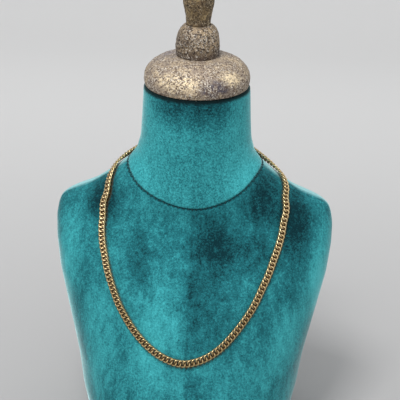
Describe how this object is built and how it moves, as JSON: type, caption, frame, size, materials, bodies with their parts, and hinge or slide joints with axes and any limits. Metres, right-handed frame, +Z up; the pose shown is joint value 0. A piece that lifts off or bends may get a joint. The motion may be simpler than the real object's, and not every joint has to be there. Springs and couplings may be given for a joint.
{
  "type": "curb chain necklace on a neck bust",
  "caption": "Closed gold-coloured curb chain necklace, worn on a velvet neck bust with a turned wooden cap and finial.",
  "frame": {"origin": "on the neck's axis, in the flat underside of the bust", "axes": "+Z up along the neck, -Y the way the chest faces, +X to the right as the front is looked at"},
  "size_m": [0.246, 0.1904, 0.4126],
  "materials": {
    "chain_gold": "polished, gold coloured",
    "clasp_gold": "polished, gold coloured",
    "velvet": "teal velvet with crushed nap",
    "antique_wood": "rubbed antique gold over dark paint"
  },
  "bodies": {
    "root": {"chain_left": "chain_gold", "chain_right": "chain_gold", "clasp": "clasp_gold", "bust_form": "velvet", "neck_cap": "antique_wood", "finial_ball": "antique_wood", "finial_stem": "antique_wood"}
  },
  "joints": []
}
